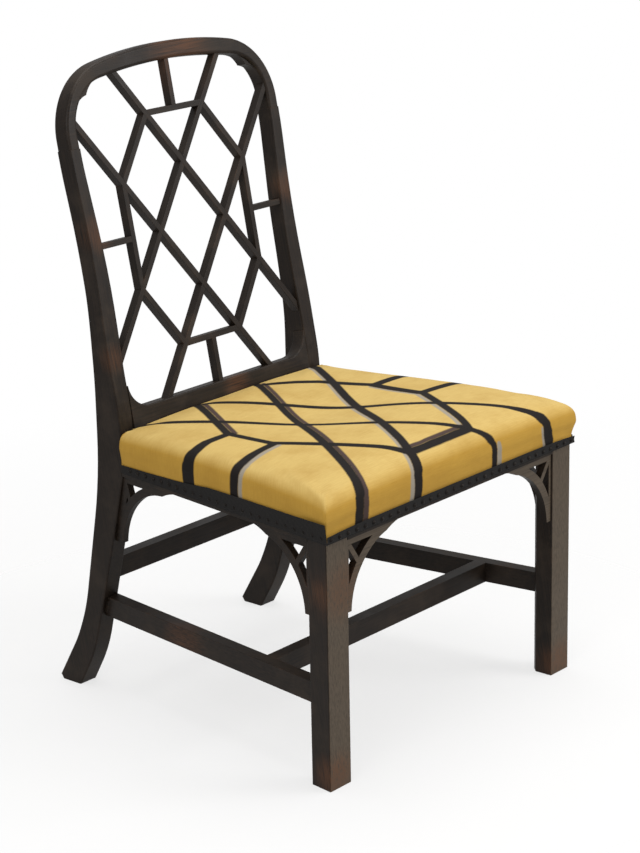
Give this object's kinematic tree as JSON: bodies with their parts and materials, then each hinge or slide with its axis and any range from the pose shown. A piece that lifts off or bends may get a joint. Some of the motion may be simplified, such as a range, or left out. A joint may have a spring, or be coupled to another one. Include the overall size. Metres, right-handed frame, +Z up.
{
  "type": "cockpen chair",
  "caption": "Side chair with a raked lattice back, sabre rear legs, square front legs with pierced brackets, stretchers and an over-upholstered seat.",
  "frame": {"origin": "centre of the chair's footprint, on the floor", "axes": "seen from the front +X is to the right, +Y to the rear, +Z up; the front of the seat faces -Y"},
  "size_m": [0.5806, 0.5988, 0.954],
  "materials": {
    "ebonised_wood": "ebonised, satin, worn to brown on edges",
    "block_wood": "bare, sawn",
    "webbing": "jute webbing",
    "base_cloth": "coarse hessian",
    "stuffing": "wadding",
    "seat_cloth": "smooth woven cloth, dark trellis on yellow",
    "braid": "narrow dark braid",
    "nail_iron": "blackened",
    "screw_steel": "plain"
  },
  "bodies": {
    "root": {"base_cloth": "base_cloth", "braid_front": "braid", "braid_left": "braid", "braid_nails": "nail_iron", "braid_right": "braid", "corner_block_screws": "screw_steel", "crest_rail": "ebonised_wood", "cross_stretcher": "ebonised_wood", "front_bracket_left": "ebonised_wood", "front_bracket_right": "ebonised_wood", "front_corner_block_left": "block_wood", "front_corner_block_right": "block_wood", "front_leg_left": "ebonised_wood", "front_leg_right": "ebonised_wood", "front_seat_rail": "ebonised_wood", "lower_back_rail": "ebonised_wood", "lower_diagonal_left": "ebonised_wood", "lower_diagonal_right": "ebonised_wood", "octagon_bottom": "ebonised_wood", "octagon_low_left": "ebonised_wood", "octagon_low_right": "ebonised_wood", "octagon_side_left": "ebonised_wood", "octagon_side_right": "ebonised_wood", "octagon_top": "ebonised_wood", "octagon_top_left": "ebonised_wood", "octagon_top_right": "ebonised_wood", "rear_bracket_left": "ebonised_wood", "rear_bracket_right": "ebonised_wood", "rear_corner_block_left": "block_wood", "rear_corner_block_right": "block_wood", "rear_leg_left": "ebonised_wood", "rear_leg_right": "ebonised_wood", "rear_seat_rail": "ebonised_wood", "rear_stretcher": "ebonised_wood", "seat_cover": "seat_cloth", "seat_stuffing": "stuffing", "side_bracket_left": "ebonised_wood", "side_bracket_right": "ebonised_wood", "side_seat_rail_left": "ebonised_wood", "side_seat_rail_right": "ebonised_wood", "side_stretcher_left": "ebonised_wood", "side_stretcher_right": "ebonised_wood", "strut_bottom": "ebonised_wood", "strut_top": "ebonised_wood", "tie_left": "ebonised_wood", "tie_right": "ebonised_wood", "upper_diagonal_left": "ebonised_wood", "upper_diagonal_right": "ebonised_wood", "web_strap_centre": "webbing", "web_strap_front": "webbing", "web_strap_left": "webbing", "web_strap_middle": "webbing", "web_strap_rear": "webbing", "web_strap_right": "webbing"}
  },
  "joints": []
}
